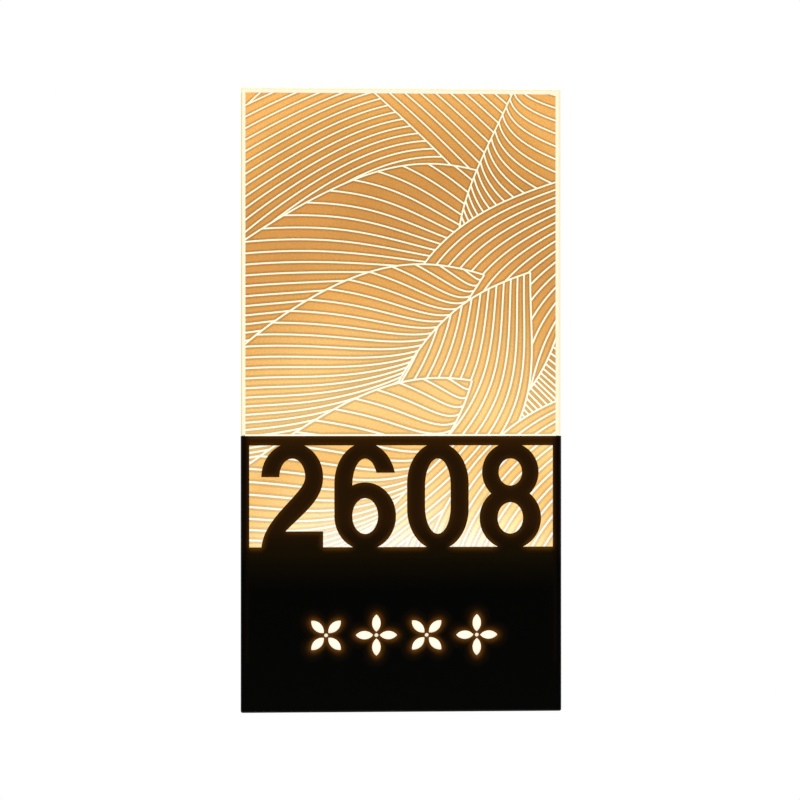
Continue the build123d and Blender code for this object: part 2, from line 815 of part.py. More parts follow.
# Holes that the spacers' spigots are pressed into
spigot_hole = spigot_radius + press_gap
spigot_places = [(x, z_pillar) for x in pillar_places]
spigot_places += [(-x_motif_screw, z_motif), (x_motif_screw, z_motif)]
for x in (x_driver[0] + hole_inset, x_driver[1] - hole_inset):
    spigot_places += [(x, z_driver - driver_half + hole_inset), (x, z_driver + driver_half - hole_inset)]
for x, z in spigot_places:
    tray -= rod(x, z, spigot_hole, y_tray_back + 1, y_tray_floor - 1)
keep("rear_tray", tray)

# Wires: terminal to driver, driver to light strip, driver to ornament board
supply_wires = []
supply_run = (x_terminal[0] - x_supply[1]) / 3
for z_pole, port in zip(z_poles, supply_ports):
    route = [
        (x_terminal[0] + terminal_insert, y_port, z_pole),
        (x_terminal[0] - supply_run, y_port, z_pole),
        (x_supply[1] + supply_run, port[0], port[1]),
        (x_supply[1] - socket_bore, port[0], port[1]),
    ]
    supply_wires.append(wire(route, supply_bend))
keep("supply_wires", supply_wires)

x_strip_lanes = [x_output[0] - strip_lane - wire_pitch, x_output[0] - strip_lane]
strip_wires = []
for x_lane, x_plug_wire, port in zip(x_strip_lanes, plug_wires, output_ports[0]):
    route = [
        (x_output[0] + socket_bore, port[0], port[1]),
        (x_lane, port[0], port[1]),
        (x_lane, port[0], z_flange_bottom - flange_clear),
        (x_plug_wire, y_strip_middle, z_plug[0] - plug_run),
        (x_plug_wire, y_strip_middle, z_plug[0] + plug_bore - wire_gap),
    ]
    strip_wires.append(wire(route, wire_bend))
keep("strip_wires", strip_wires)

x_motif_lanes = [x_output[0] - motif_lane, x_output[0] - motif_lane + wire_pitch]
motif_wires = []
for x_lane, motif_port, port in zip(x_motif_lanes, motif_ports[::-1], output_ports[1]):
    route = [
        (x_output[0] + socket_bore, port[0], port[1]),
        (x_lane, port[0], port[1]),
        (x_lane, motif_port[0], motif_port[1]),
        (x_motif_plug[0] + socket_bore, motif_port[0], motif_port[1]),
    ]
    motif_wires.append(wire(route, wire_bend))
keep("motif_wires", motif_wires)

# Saddle that holds the strip wires on the tray's side wall
z_clip = z_driver + clip_rise
y_clip = (y_driver_wires - clip_depth / 2, y_driver_wires + clip_depth / 2)
clip = slab(
    (-x_tray_inside, x_strip_lanes[1] + wire_radius / 2),
    y_clip,
    (z_clip - clip_height / 2, z_clip + clip_height / 2),
)
for x in x_strip_lanes:
    clip -= Pos(x, y_driver_wires, z_clip) * Cylinder(wire_radius + wire_gap, clip_height + 2)
keep("wire_clip", clip)

# Wall bracket: a plate with two hooks bent forwards out of it
bracket = slab(
    (-bracket_width / 2, bracket_width / 2), (-bracket_sheet, 0), (-bracket_height / 2, bracket_height / 2)
)
y_hook_front = y_tray_floor - hook_play - bracket_sheet
for x in x_hooks:
    hook_span = (x - hook_width / 2, x + hook_width / 2)
    window_span = (hook_span[0] - hook_side_gap, hook_span[1] + hook_side_gap)
    bracket -= slab(window_span, (-bracket_sheet - 1, 1), (z_slot_top, z_slot_top + hook_rise + hook_reach))
    bracket += slab(hook_span, (y_hook_front, -bracket_sheet), (z_hook, z_hook + bracket_sheet))
    bracket += slab(hook_span, (y_hook_front, y_hook_front + bracket_sheet), (z_hook, z_hook + hook_rise))
for x in (-wall_screw_spacing / 2, wall_screw_spacing / 2):
    bracket -= rod(x, 0, wall_screw_radius, 1, -bracket_sheet - 1)
corners = bracket.edges().filter_by(Axis.Y).sort_by(Axis.X)
bracket = fillet(corners[:2] + corners[-2:], bracket_corner)
keep("wall_bracket", bracket)

# Rubber feet between the tray's lower edge and the wall
bumpers = []
for x in (-x_tray + bumper_inset, x_tray - bumper_inset):
    bumpers.append(rod(x, z_bottom + bumper_rise, bumper_radius, 0, y_tray_back))
keep("wall_bumpers", bumpers)

os.makedirs("parts", exist_ok=True)
for name, shape in nodes.items():
    export_step(shape, f"parts/{name}.step")
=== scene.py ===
import math
from collections import namedtuple
from functools import partial

import bpy
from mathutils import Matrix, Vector


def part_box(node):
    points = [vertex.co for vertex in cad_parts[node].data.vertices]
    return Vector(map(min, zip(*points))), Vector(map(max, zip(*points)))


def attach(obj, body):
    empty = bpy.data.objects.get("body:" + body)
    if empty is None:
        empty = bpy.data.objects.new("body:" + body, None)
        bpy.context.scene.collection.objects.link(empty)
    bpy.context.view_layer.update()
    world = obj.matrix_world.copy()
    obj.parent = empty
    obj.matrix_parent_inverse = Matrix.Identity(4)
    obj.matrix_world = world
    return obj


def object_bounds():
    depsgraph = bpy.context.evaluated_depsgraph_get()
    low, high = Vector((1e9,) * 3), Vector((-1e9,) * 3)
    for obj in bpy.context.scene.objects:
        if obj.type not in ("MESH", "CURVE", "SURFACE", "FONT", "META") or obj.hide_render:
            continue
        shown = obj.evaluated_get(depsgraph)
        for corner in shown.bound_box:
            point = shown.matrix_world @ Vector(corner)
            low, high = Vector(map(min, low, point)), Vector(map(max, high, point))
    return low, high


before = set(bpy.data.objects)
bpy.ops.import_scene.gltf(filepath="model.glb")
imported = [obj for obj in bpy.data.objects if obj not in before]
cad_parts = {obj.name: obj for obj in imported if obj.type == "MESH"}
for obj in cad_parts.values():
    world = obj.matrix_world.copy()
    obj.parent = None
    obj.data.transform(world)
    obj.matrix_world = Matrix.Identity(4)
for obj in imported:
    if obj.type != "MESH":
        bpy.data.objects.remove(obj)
cad_box = [list(corner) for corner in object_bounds()]
bpy.ops.object.select_all(action="DESELECT")


# Wall bracket and the other bare steel: sheet and turned steel with bright zinc plate. The bracket is bent
# to two hooks and screwed to the wall; pillars, screws, studs and nuts are standard hardware.
MM = 0.001


def linear(hex_colour):
    """Turns an sRGB hex colour to linear red, green, blue and alpha."""
    channels = [int(hex_colour[i:i + 2], 16) / 255 for i in (1, 3, 5)]
    return [c / 12.92 if c <= 0.04045 else ((c + 0.055) / 1.055) ** 2.4 for c in channels] + [1.0]


def add_node(tree, kind, inputs=None, **settings):
    """Adds one node, sets its properties, and fills or links its inputs."""
    node = tree.nodes.new(kind)
    for name, value in settings.items():
        setattr(node, name, value)
    for key, value in (inputs or {}).items():
        if isinstance(value, bpy.types.NodeSocket):
            tree.links.new(value, node.inputs[key])
        else:
            node.inputs[key].default_value = value
    return node


def opened(material):
    """A material's node tree and shader, and the place of a point on its surface."""
    tree = material.node_tree
    return tree, tree.nodes["Principled BSDF"], add_node(tree, "ShaderNodeTexCoord").outputs["Object"]


def grained(name, colours, gloss, grain, relief=0.0, stretch=(1, 1, 1), **sockets):
    """A material whose shade, roughness and relief follow one grain; grain and relief are in millimetres."""
    material = bpy.data.materials.new(name)
    material.use_nodes = True
    tree, shader, place = opened(material)
    for socket, value in sockets.items():
        shader.inputs[socket.replace("_", " ")].default_value = value
    turned = add_node(tree, "ShaderNodeMapping", {"Vector": place, "Scale": stretch}).outputs[0]
    noise = add_node(
        tree, "ShaderNodeTexNoise", {"Vector": turned, "Scale": 1 / (grain * MM), "Detail": 3.0}
    ).outputs[0]
    shade = add_node(
        tree, "ShaderNodeMix", {0: noise, 6: linear(colours[0]), 7: linear(colours[1])}, data_type="RGBA"
    ).outputs[2]
    rough = add_node(
        tree, "ShaderNodeMapRange", {"Value": noise, "To Min": gloss[0], "To Max": gloss[1]}
    ).outputs[0]
    tree.links.new(shade, shader.inputs["Base Color"])
    tree.links.new(rough, shader.inputs["Roughness"])
    if relief:
        bump = add_node(tree, "ShaderNodeBump", {"Height": noise, "Distance": relief * MM}).outputs[0]
        tree.links.new(bump, shader.inputs["Normal"])
    return material


def dress(material, *nodes):
    """Puts a material on CAD nodes."""
    for node in nodes:
        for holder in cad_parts[node].material_slots:
            holder.material = material


# Bright zinc: a cool pale metal with faint cloudy patches from the plating bath
zinc = grained("bright_zinc_plate", ("#C9CCD0", "#A9AFB6"), (0.22, 0.42), 4.0, 0.004, Metallic=1.0)
dress(
    zinc, "wall_bracket", "channel_pillars", "channel_screws", "motif_screws", "driver_screws",
    "diffuser_studs", "diffuser_nuts", "cover_nuts", "cover_screws",
)


# Rear tray: folded sheet steel that everything inside is fixed to. Satin black powder coat, which shows a
# fine even orange peel.
satin_coat = grained("satin_black_powder_coat", ("#0E0D0D", "#151414"), (0.36, 0.5), 0.8, 0.012)
dress(satin_coat, "rear_tray")


# Feet, cable grommet and top seal: moulded black rubber, pushed into their holes or stuck on. Matt and
# slightly grey where the mould left a bloom.
rubber = grained(
    "moulded_black_rubber", ("#141414", "#232323"), (0.6, 0.8), 0.6, 0.02, Specular_IOR_Level=0.4
)
dress(rubber, "wall_bumpers", "cable_grommet", "top_seal")


# Driver: a green circuit board on nylon spacers with its capacitor, inductor, chips and two wire sockets.
# It makes the constant current for both rows of light-emitting diodes.
board_mask = grained("green_solder_mask", ("#1A5230", "#216038"), (0.25, 0.38), 1.5)
tree, shader, place = opened(board_mask)
board_plane = add_node(
    tree, "ShaderNodeMapping", {"Vector": place, "Rotation": (math.radians(-90), 0, 0)}
).outputs[0]

# Tracks run in square turns under the mask, and tinned holes stand among them. Both are drawn coarse enough
# to show; their sizes are in millimetres.
turn_width = 8.0
track_pitch = 1.28
track_width = 0.56
hole_spacing = 3.6
hole_radius = 0.396
turns = add_node(
    tree, "ShaderNodeTexVoronoi", {"Vector": board_plane, "Scale": 1 / (turn_width * MM)},
    voronoi_dimensions="2D", distance="CHEBYCHEV",
).outputs["Distance"]
rows = add_node(
    tree, "ShaderNodeMath", {0: turns, 1: track_pitch / turn_width}, operation="FLOORED_MODULO"
).outputs[0]
copper = add_node(
    tree, "ShaderNodeMath", {0: rows, 1: track_width / turn_width}, operation="LESS_THAN"
).outputs[0]
spots = add_node(
    tree, "ShaderNodeTexVoronoi", {"Vector": board_plane, "Scale": 1 / (hole_spacing * MM)},
    voronoi_dimensions="2D",
).outputs["Distance"]
hole = add_node(
    tree, "ShaderNodeMath", {0: spots, 1: hole_radius / hole_spacing}, operation="LESS_THAN"
).outputs[0]
plain_mask = shader.inputs["Base Color"].links[0].from_socket
tracked = add_node(
    tree, "ShaderNodeMix", {0: copper, 6: plain_mask, 7: linear("#2F7D49")}, data_type="RGBA"
).outputs[2]
holed = add_node(
    tree, "ShaderNodeMix", {0: hole, 6: tracked, 7: linear("#C4C6C4")}, data_type="RGBA"
).outputs[2]
tree.links.new(holed, shader.inputs["Base Color"])
dress(board_mask, "driver_board")

# Natural nylon is milky and lets a little light in; moulded epoxy and pressed ferrite are dull, with a
# fine grain
nylon = grained(
    "natural_nylon", ("#E9E4D6", "#DDD7C6"), (0.35, 0.5), 1.2,
    Subsurface_Weight=0.2, Subsurface_Radius=(1 * MM, 1 * MM, 1 * MM),
)
dress(
    nylon, "driver_connectors", "motif_connector", "strip_connector",
    "driver_spacers", "motif_spacers", "wire_clip",
)
epoxy = grained("moulded_black_epoxy", ("#1A1A1B", "#262627"), (0.45, 0.65), 0.25, 0.01)
dress(epoxy, "driver_chips", "strip_resistors")
ferrite = grained("pressed_ferrite", ("#35353A", "#4A4A50"), (0.5, 0.75), 0.35, 0.02)
dress(ferrite, "driver_inductor")

# The capacitor's shrunk sleeve is dark blue and glossy, with a pale stripe; its top shows the aluminium can
stripe_depth = 0.6
can_depth = 0.05
capacitor_low, capacitor_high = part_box("driver_capacitor")
sleeve = grained("shrink_sleeve_on_aluminium", ("#12203F", "#172A50"), (0.22, 0.32), 1.0)
tree, shader, place = opened(sleeve)
axes = add_node(tree, "ShaderNodeSeparateXYZ", {0: place}).outputs
stripe = add_node(
    tree, "ShaderNodeMath", {0: axes[0], 1: capacitor_high[0] - stripe_depth * MM}, operation="GREATER_THAN"
).outputs[0]
can = add_node(
    tree, "ShaderNodeMath", {0: axes[1], 1: capacitor_low[1] + can_depth * MM}, operation="LESS_THAN"
).outputs[0]
plain_sleeve = shader.inputs["Base Color"].links[0].from_socket
striped = add_node(
    tree, "ShaderNodeMix", {0: stripe, 6: plain_sleeve, 7: linear("#AEB6C4")}, data_type="RGBA"
).outputs[2]
topped = add_node(
    tree, "ShaderNodeMix", {0: can, 6: striped, 7: linear("#D5D6D8")}, data_type="RGBA"
).outputs[2]
tree.links.new(topped, shader.inputs["Base Color"])
tree.links.new(can, shader.inputs["Metallic"])
dress(sleeve, "driver_capacitor")


# Supply terminal: a lever clamp in pale grey plastic with brass contacts, stuck to the tray on a foam pad.
# Two teal levers open its clamps. The plastics are smooth with a low gloss, and the foam is dull.
housing = grained("moulded_grey_polycarbonate", ("#B9BCBE", "#C6C9CA"), (0.3, 0.42), 0.7, 0.004)
dress(housing, "terminal_block")
lever_plastic = grained("moulded_teal_nylon", ("#135E63", "#18707A"), (0.32, 0.46), 0.7, 0.004)
dress(lever_plastic, "terminal_lever_live", "terminal_lever_return")
brass = grained("stamped_brass", ("#C9A24C", "#B98F3C"), (0.2, 0.35), 0.8, Metallic=1.0)
dress(brass, "terminal_contacts")
foam = grained("closed_cell_foam", ("#2B2C2E", "#3A3B3D"), (0.8, 0.95), 0.4, 0.08, Specular_IOR_Level=0.2)
dress(foam, "terminal_pad")


# Wires: stranded copper in soft vinyl, white from the terminal to the driver and black to both rows of
# diodes. The vinyl has a low even gloss.
white_vinyl = grained("white_vinyl_insulation", ("#E6E4DE", "#D9D6CE"), (0.38, 0.5), 2.0)
dress(white_vinyl, "supply_wires")
black_vinyl = grained("black_vinyl_insulation", ("#111112", "#1C1C1D"), (0.36, 0.48), 2.0)
dress(black_vinyl, "strip_wires", "motif_wires")


# Light source: an extruded aluminium channel under the panel with a white strip board and its diodes, and a
# second board behind the ornaments. The channel keeps the long die lines of extrusion.
extrusion = grained(
    "extruded_aluminium", ("#C3C5C7", "#AFB1B4"), (0.28, 0.45), 0.6, 0.006,
    stretch=(0.02, 1, 1), Metallic=1.0,
)
dress(extrusion, "led_channel")
white_mask = grained("white_solder_mask", ("#ECEBE6", "#E2E1DB"), (0.25, 0.35), 2.5)
dress(white_mask, "led_strip_board", "motif_led_board")

# A diode is a white moulded cup filled with yellow phosphor, which glows warm white
cup_depth = 0.24
phosphor_depth = 0.04
cups = {
    "strip_leds": (2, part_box("strip_leds")[1][2] - cup_depth * MM),
    "motif_leds": (1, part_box("motif_leds")[0][1] + cup_depth * MM),
}
for row, (axis, cup_floor) in cups.items():
    cup = grained(
        "phosphor_filled_cup_" + row, ("#F2F0EA", "#E8E6DF"), (0.35, 0.5), 1.0, Emission_Strength=2.5
    )
    tree, shader, place = opened(cup)
    axes = add_node(tree, "ShaderNodeSeparateXYZ", {0: place}).outputs
    phosphor = add_node(
        tree, "ShaderNodeMath", {0: axes[axis], 1: cup_floor, 2: phosphor_depth * MM}, operation="COMPARE"
    ).outputs[0]
    glow = add_node(
        tree, "ShaderNodeMix", {0: phosphor, 6: linear("#000000"), 7: linear("#FFE7B0")}, data_type="RGBA"
    ).outputs[2]
    tree.links.new(glow, shader.inputs["Emission Color"])
    dress(cup, row)


# Panel seats: strips of clear silicone in the channel, that the sheet stands on and that grip its front
# face. Milky and soft, they are pressed in place.
silicone = grained(
    "clear_silicone", ("#DCE0E0", "#CCD2D2"), (0.4, 0.55), 1.0, Transmission_Weight=0.4, IOR=1.41
)
dress(silicone, "panel_rest_pads", "panel_gripper")


# Backing sheet: aluminium, blasted fine and anodised champagne gold, behind the acrylic. Its front has a
# painted glow for the light that the engraving throws back on it, palest near the diodes.
sheet_low, sheet_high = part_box("backing_panel")
sheet_middle = (sheet_low[1] + sheet_high[1]) / 2
channel_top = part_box("led_channel")[1][2]
# The painted glow by its height above the channel, and each grain by its width, both in millimetres
painted_glow_stops = (
    (0, "#FFFFF8"), (7, "#FFF8E0"), (14, "#FEEABA"), (25, "#F8D698"), (44, "#EBBF78"), (66, "#F0CE8C"),
    (94, "#E8BF7C"), (120, "#D6A35E"), (146, "#C79354"), (178, "#C28E4E"), (198, "#D09C56"), (214, "#E2AE66"),
)
side_lift = 24
side_curve = 4.0
speckle = (0.7, 0.26)
unevenness = (45.0, 0.18)
blast_grain = 1.2


def painted_light_ramp(tree, distance, stops):
    """Painted light that changes its colour with a distance; each stop is a distance in millimetres and a
    colour.
    """
    least = stops[0][0]
    most = stops[-1][0]
    share = add_node(
        tree, "ShaderNodeMapRange", {"Value": distance, "From Min": least * MM, "From Max": most * MM}
    ).outputs[0]
    ramp = add_node(tree, "ShaderNodeValToRGB", {0: share})
    marks = ramp.color_ramp.elements
    for number, (level, colour) in enumerate(stops):
        mark = marks[number] if number < len(marks) else marks.new(1.0)
        mark.position = (level - least) / (most - least)
        mark.color = linear(colour)
    return ramp.outputs[0]


def gold_with_painted_glow(name, colours):
    """Gold with a painted glow on its front, by its height above the diodes."""
    material = grained(name, colours, (0.35, 0.5), 0.5, 0.01, Metallic=1.0, Emission_Strength=0.95)
    tree, shader, place = opened(material)
    axes = add_node(tree, "ShaderNodeSeparateXYZ", {0: place}).outputs
    # The row of diodes stops short of both sides, so the painted glow there is that of a place a little
    # higher up
    outward = add_node(tree, "ShaderNodeMath", {0: axes[0], 1: sheet_high[0]}, operation="DIVIDE").outputs[0]
    to_side = add_node(tree, "ShaderNodeMath", {0: outward, 1: side_curve}, operation="POWER").outputs[0]
    height = add_node(tree, "ShaderNodeMath", {0: axes[2], 1: channel_top}, operation="SUBTRACT").outputs[0]
    lifted = add_node(
        tree, "ShaderNodeMath", {0: to_side, 1: side_lift * MM, 2: height}, operation="MULTIPLY_ADD"
    ).outputs[0]
    glow = painted_light_ramp(tree, lifted, painted_glow_stops)
    # The blasting shows as a fine speckle in the painted glow, and the painted light falls a little unevenly
    # over the width of a hand
    level = add_node(tree, "ShaderNodeMath", {0: axes[1], 1: sheet_middle}, operation="LESS_THAN").outputs[0]
    for grain, swing in (speckle, unevenness):
        mottle = add_node(
            tree, "ShaderNodeTexNoise", {"Vector": place, "Scale": 1 / (grain * MM), "Detail": 2.0}
        ).outputs[0]
        spread = add_node(
            tree, "ShaderNodeMapRange", {"Value": mottle, "To Min": 1 - swing, "To Max": 1 + swing}
        ).outputs[0]
        level = add_node(tree, "ShaderNodeMath", {0: level, 1: spread}, operation="MULTIPLY").outputs[0]
    lit = add_node(tree, "ShaderNodeVectorMath", {0: glow, "Scale": level}, operation="SCALE").outputs[0]
    tree.links.new(lit, shader.inputs["Emission Color"])
    return material


# Beside its painted glow the front needs little of the room's light, so it is given a darker gold, painted
# shade; only the bare back shows the full gold
gold = gold_with_painted_glow("champagne_gold_anodised_aluminium_painted_glow", ("#8F7A50", "#998457"))
tree, shader, place = opened(gold)
depth = add_node(tree, "ShaderNodeSeparateXYZ", {0: place}).outputs[1]
back = add_node(tree, "ShaderNodeMath", {0: depth, 1: sheet_middle}, operation="GREATER_THAN").outputs[0]
blast = add_node(
    tree, "ShaderNodeTexNoise", {"Vector": place, "Scale": 1 / (blast_grain * MM), "Detail": 4.0}
).outputs[0]
full_gold = add_node(
    tree, "ShaderNodeMix", {0: blast, 6: linear("#BFA368"), 7: linear("#DCC593")}, data_type="RGBA"
).outputs[2]
front_gold = shader.inputs["Base Color"].links[0].from_socket
sided = add_node(tree, "ShaderNodeMix", {0: back, 6: front_gold, 7: full_gold}, data_type="RGBA").outputs[2]
tree.links.new(sided, shader.inputs["Base Color"])
dress(gold, "backing_panel")


# Light guide: a 5 mm cast acrylic sheet with flame-polished edges, its lower tongue held in the channel.
# Light runs up inside it and leaves at the engraving and the edges.
guide_low, guide_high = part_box("light_guide_panel")
acrylic = grained(
    "clear_cast_acrylic_painted_edge_glow", ("#FFFEFA", "#FFFDF6"), (0.0, 0.015), 30.0,
    Transmission_Weight=1.0, IOR=1.49, Emission_Strength=0.06,
)
tree, shader, place = opened(acrylic)
axes = add_node(tree, "ShaderNodeSeparateXYZ", {0: place}).outputs
sideways = add_node(tree, "ShaderNodeMath", {0: axes[0]}, operation="ABSOLUTE").outputs[0]
from_side = add_node(
    tree, "ShaderNodeMath", {0: guide_high[0], 1: sideways}, operation="SUBTRACT"
).outputs[0]
from_top = add_node(
    tree, "ShaderNodeMath", {0: guide_high[2], 1: axes[2]}, operation="SUBTRACT"
).outputs[0]
from_edge = add_node(tree, "ShaderNodeMath", {0: from_side, 1: from_top}, operation="MINIMUM").outputs[0]

# Painted glow and tint: the polished edge glows most, and a paler band beside it reaches in to the gold; both
# end over a short way
edge_end = (0.4, 0.7)
band_end = (2.0, 2.2)
edge_glow, band_glow = [
    add_node(
        tree, "ShaderNodeMapRange",
        {"Value": from_edge, "From Min": start * MM, "From Max": end * MM, "To Min": 1.0, "To Max": 0.0},
    ).outputs[0]
    for start, end in (edge_end, band_end)
]
clear = shader.inputs["Base Color"].links[0].from_socket
banded = add_node(
    tree, "ShaderNodeMix", {0: band_glow, 6: clear, 7: linear("#FFF7DC")}, data_type="RGBA"
).outputs[2]
edged = add_node(
    tree, "ShaderNodeMix", {0: edge_glow, 6: banded, 7: linear("#F0E2AE")}, data_type="RGBA"
).outputs[2]
tree.links.new(edged, shader.inputs["Base Color"])
edge_light = add_node(
    tree, "ShaderNodeMix", {0: band_glow, 6: linear("#000000"), 7: linear("#FFE9B4")}, data_type="RGBA"
).outputs[2]
tree.links.new(edge_light, shader.inputs["Emission Color"])
dress(acrylic, "light_guide_panel")


# Engraved lines: V grooves cut in the back of the acrylic, which scatter the light; their warm white glow is
# painted.
# They are drawn as overlapping leaves, and in each the lines follow one bowed edge or sweep in an S from edge
# to edge.
Leaf = namedtuple("Leaf", "root tip left right sweep gap")
# Points and gaps in millimetres; the swell of each edge and the sweep of the lines as shares of the leaf's
# length. With no sweep the lines follow the left edge, or the right edge where the gap is negative.
leaves = [
    Leaf((-250, -110), (230, 280), 0.46, 0.46, 0, 7.6),
    Leaf((-160, 70), (76, 176), 0.28, 0.12, 0, 6.2),
    Leaf((124, 92), (-60, 236), 0.08, 0.36, 0, 6.2),
    Leaf((-140, 10), (86, 136), 0.25, 0.06, -0.42, 7.0),
    Leaf((118, -50), (56, 204), 0.20, 0.26, 0.36, 6.4),
    Leaf((-20, -10), (94, 158), 0.16, 0.16, 0, 6.2),
    Leaf((-130, -10), (44, 98), 0.20, 0.12, -0.40, 6.4),
    Leaf((-46, -60), (66, 104), 0.13, 0.16, 0, -6.2),
    Leaf((-130, -70), (30, 46), 0.20, 0.16, -0.34, 6.8),
    Leaf((16, -86), (114, 62), 0.22, 0.20, 0, 6.2),
]
leaf_edge = 0.999
tip_share = 0.8
straight_share = 0.8
narrowing = 0.45
# The drawing's sway: how far it bends sideways and up, over which length, and where it starts
sway_reach = (5, 6)
sway_length = (26, 28)
sway_start = (0.6, 1.1)
# Grooves in millimetres; glare widens them by the first factor at the diodes and the second at the top
groove_width = 1.0
groove_depth = 0.3
# The strip of painted shade beside each groove: its width and depth
shade_strip_width = 2.8
shade_strip_depth = 0.08
glare = (1.2, 0.88)
groove_step = 2.0
halvings = 9
overrun = 2.0
line_rise = 0.25
line_fade = 130
shadow_fade = 120
least_shadow = 0.25


def bow(along):
    """How far an edge bulges at a place along its leaf, from 0 at both ends to 1 in the middle."""
    return 4 * along * (1 - along)


def leaf_point(leaf, along, offset):
    """A point along a leaf, 0 at its root and 1 at its tip, set off to the left by a share of its length."""
    root = Vector(leaf.root)
    spine = Vector(leaf.tip) - root
    return root + along * spine + offset * Vector((-spine.y, spine.x))


def covers(leaf, point):
    """True where a point lies inside a leaf's two edges."""
    spine = Vector(leaf.tip) - Vector(leaf.root)
    offset = point - Vector(leaf.root)
    along = offset.dot(spine) / spine.length_squared
    across = spine.cross(offset) / spine.length_squared
    return -leaf.right * bow(along) < across < leaf.left * bow(along)


def sway(point):
    """Bends the whole drawing gently, so that no line stays a plain arc."""
    bend_right = sway_reach[0] * math.sin(point.y / sway_length[0] + sway_start[0])
    bend_up = sway_reach[1] * math.sin(point.x / sway_length[1] + sway_start[1])
    return point + Vector((bend_right, bend_up))


def shown(leaf, above, point):
    """True where a leaf's point falls on or just past the gold sheet, and under none of the leaves above."""
    x, z = sway(point) * MM
    spare = overrun * MM
    on_sheet = abs(x) < sheet_high[0] + spare and sheet_low[2] - spare < z < sheet_high[2] + spare
    return on_sheet and covers(leaf, point) and not any(covers(other, point) for other in above)


def cut_runs(leaf, above, track, steps):
    """The stretches of a line that show, ending exactly where it is cut off; track runs from 0 to 1."""
    runs = [[]]
    before = False
    for step in range(steps + 1):
        share = step / steps
        point = leaf_point(leaf, *track(share))
        now = shown(leaf, above, point)
        if now != before and step:
            hidden, seen = (share, share - 1 / steps) if before else (share - 1 / steps, share)
            for _ in range(halvings):
                between = (hidden + seen) / 2
                if shown(leaf, above, leaf_point(leaf, *track(between))):
                    seen = between
                else:
                    hidden = between
            runs[-1].append(leaf_point(leaf, *track(seen)))
            if before:
                runs.append([])
        if now:
            runs[-1].append(point)
        before = now
    return [[sway(point) for point in run] for run in runs if len(run) > 1]


def following(edge, drop, along):
    """Along and offset of a line that follows an edge some way off, and nears it towards the leaf's tip."""
    return along, edge * bow(along) - drop * (1 - narrowing * along)


def crossing(leaf, start, share):
    """Along and offset of a line that crosses a leaf in an S, which flattens out towards the leaf's tip."""
    across = leaf_edge * (2 * share - 1)
    bend = straight_share * across + (1 - straight_share) * across ** 3
    along = start + leaf.sweep * min(1.0, (1 - start) / tip_share) * bend
    return along, bow(along) * (leaf.left - leaf.right + across * (leaf.left + leaf.right)) / 2


grooves = []
for order, leaf in enumerate(leaves):
    length = (Vector(leaf.tip) - Vector(leaf.root)).length
    gap = leaf.gap / length
    reach = abs(leaf.sweep)
    tracks = [partial(following, leaf_edge * edge, 0) for edge in (leaf.left, -leaf.right)]
    if leaf.sweep:
        count = math.ceil((1 + reach) / gap)
        tracks += [partial(crossing, leaf, number * gap - reach) for number in range(count)]
    else:
        edge = leaf.left if gap > 0 else -leaf.right
        count = math.ceil((leaf.left + leaf.right) / abs(gap) / (1 - narrowing))
        tracks += [partial(following, edge, number * gap) for number in range(1, count)]
    steps = math.ceil(length * (1 + 2 * reach) / groove_step)
    for track in tracks:
        grooves += cut_runs(leaf, leaves[order + 1:], track, steps)

# One straight line runs across the sheet, half hidden by the cover's upper edge
line_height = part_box("front_cover")[1][2] / MM + line_rise
grooves.append([Vector((side * (sheet_high[0] / MM + overrun), line_height)) for side in (-1, 1)])


def cut_grooves(name, width, depth, material):
    """Makes one mesh of all the grooves: V strips, cut off at the sheet's border, wider near the diodes."""
    curve = bpy.data.curves.new(name, "CURVE")
    curve.dimensions = "2D"
    curve.bevel_depth = width / 2 * MM
    curve.bevel_resolution = 0
    curve.use_fill_caps = True
    for run in grooves:
        spline = curve.splines.new("POLY")
        spline.points.add(len(run) - 1)
        for knot, point in zip(spline.points, run):
            knot.co = (point.x * MM, point.y * MM, 0, 1)
            rise = (point.y * MM - channel_top) / (sheet_high[2] - channel_top)
            knot.radius = glare[0] + rise * (glare[1] - glare[0])
    strips = bpy.data.objects.new(name, curve)
    bpy.context.collection.objects.link(strips)
    bpy.context.view_layer.objects.active = strips
    strips.select_set(True)
    bpy.ops.object.convert(target="MESH")
    strips.rotation_euler = (math.radians(90), 0, 0)
    strips.scale = (1, 1, 2 * depth / width)
    strips.location = (0, guide_high[1], 0)
    bpy.ops.object.transform_apply(location=True, rotation=True, scale=True)
    bpy.ops.object.mode_set(mode="EDIT")
    for corner, side in ((sheet_low, -1), (sheet_high, 1)):
        for outward in ((side, 0, 0), (0, 0, side)):
            bpy.ops.mesh.select_all(action="SELECT")
            bpy.ops.mesh.bisect(plane_co=corner, plane_no=outward, use_fill=True, clear_outer=True)
    bpy.ops.object.mode_set(mode="OBJECT")
    strips.select_set(False)
    strips.data.materials.append(material)
    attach(strips, "sign_body")


# Frosted by the cutter, the groove's floor is a matt off-white, with a painted warm white glow for the light
# of the diodes
engraving = grained("frosted_engraving_painted_glow", ("#8C8878", "#7E7A6C"), (0.7, 0.8), 1.0, Emission_Strength=1.0)
tree, shader, place = opened(engraving)
height = add_node(tree, "ShaderNodeSeparateXYZ", {0: place}).outputs[2]
fade = add_node(
    tree, "ShaderNodeMapRange",
    {"Value": height, "From Min": channel_top, "From Max": channel_top + line_fade * MM},
).outputs[0]
line_glow = add_node(
    tree, "ShaderNodeMix", {0: fade, 6: linear("#FFFFF8"), 7: linear("#FFFDE4")}, data_type="RGBA"
).outputs[2]
tree.links.new(line_glow, shader.inputs["Emission Color"])
cut_grooves("engraved_lines", groove_width, groove_depth, engraving)
